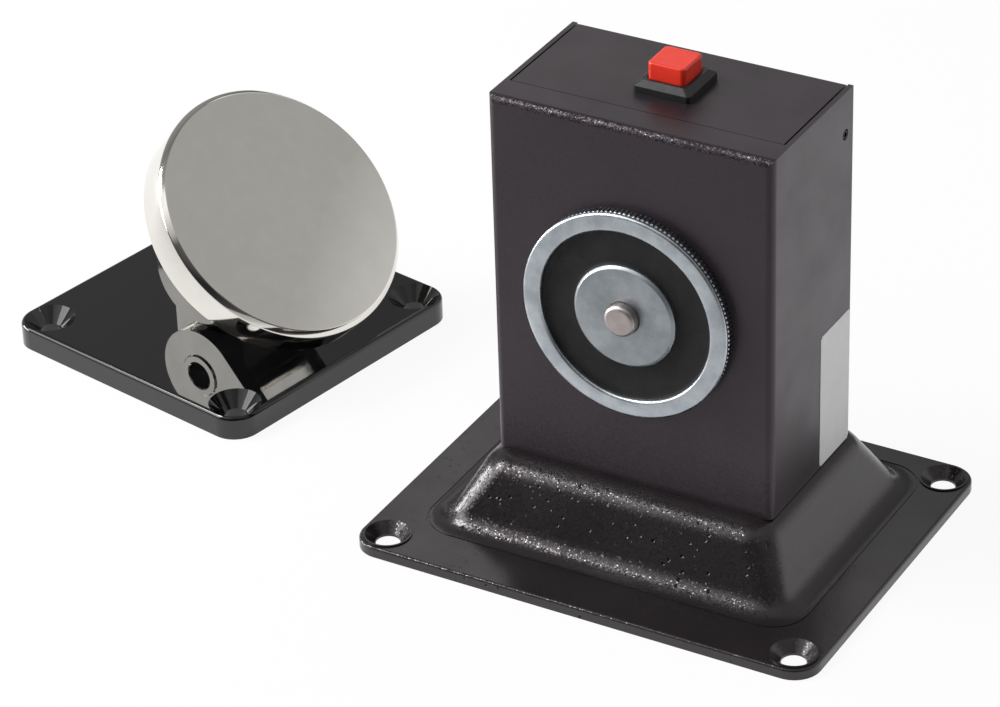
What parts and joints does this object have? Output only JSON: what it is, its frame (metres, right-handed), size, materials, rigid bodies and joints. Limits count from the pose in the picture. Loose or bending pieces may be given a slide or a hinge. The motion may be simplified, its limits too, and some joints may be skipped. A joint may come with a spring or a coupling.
{
  "type": "electromagnetic door holder",
  "caption": "Hold-open door magnet on a pressed pedestal with a red release button and sprung ejector pin, and a separate swivelling armature plate on a square base.",
  "frame": {"origin": "middle of the pedestal's fixing holes, on the mounting surface", "axes": "+Z away from the mounting surface, -Y the way the magnet faces, the keeper unit stands at -X"},
  "size_m": [0.2909, 0.1423, 0.1414],
  "materials": {
    "powder_coat": "satin black powder coat with a fine orange peel",
    "gloss_black": "deep gloss black",
    "zinc_steel": "bright zinc plate",
    "pin_steel": "turned steel",
    "black_oxide": "black oxide",
    "nickel": "polished nickel plate",
    "potting_resin": "cast black resin",
    "black_plastic": "moulded, satin",
    "red_plastic": "moulded, red",
    "pale_plastic": "moulded, off-white",
    "copper_wire": "enamelled copper wire",
    "contact_brass": "plain brass",
    "grommet_rubber": "matt black rubber"
  },
  "bodies": {
    "magnet_unit": {"pedestal": "powder_coat", "housing_shell": "powder_coat", "housing_cover": "powder_coat", "cover_screws": "black_oxide", "floor_screws": "zinc_steel", "floor_nuts": "zinc_steel", "cable_grommet": "grommet_rubber", "magnet_pot": "zinc_steel", "magnet_core": "zinc_steel", "core_plug": "zinc_steel", "coil_bobbin": "black_plastic", "coil_winding": "copper_wire", "resin_ring": "potting_resin", "ring_nut": "zinc_steel", "button_bezel": "black_plastic", "button_nut": "black_plastic", "switch_body": "black_plastic", "switch_blades": "contact_brass", "terminal_block": "pale_plastic", "terminal_screws": "contact_brass"},
    "release_button": {"button_cap": "red_plastic"},
    "ejector": {"ejector_pin": "pin_steel"},
    "keeper_stand": {"keeper_base": "gloss_black", "pivot_block": "nickel", "block_screws": "zinc_steel"},
    "keeper_plate": {"keeper_clevis": "nickel", "hinge_pin": "nickel", "keeper_disc": "nickel", "disc_screws": "nickel"}
  },
  "joints": [
    {"name": "release_press", "type": "slide", "parent": "magnet_unit", "child": "release_button", "axis": [0, 0, -1], "range_m": [0, 0.0025], "stiffness_N_per_m": 600, "springref_m": -0.002},
    {"name": "ejector_push", "type": "slide", "parent": "magnet_unit", "child": "ejector", "axis": [0, 1, 0], "range_m": [0, 0.003], "stiffness_N_per_m": 1500, "springref_m": -0.004},
    {"name": "keeper_place", "type": "slide", "parent": "magnet_unit", "child": "keeper_stand", "axis": [-1, 0, 0], "range_m": [0, 0.1]},
    {"name": "keeper_swivel", "type": "hinge", "parent": "keeper_stand", "child": "keeper_plate", "pos_m": [-0.1653, 0.0317, 0.0244], "axis": [0.1994, 0.9799, 0], "range_deg": [-94, 5]}
  ]
}
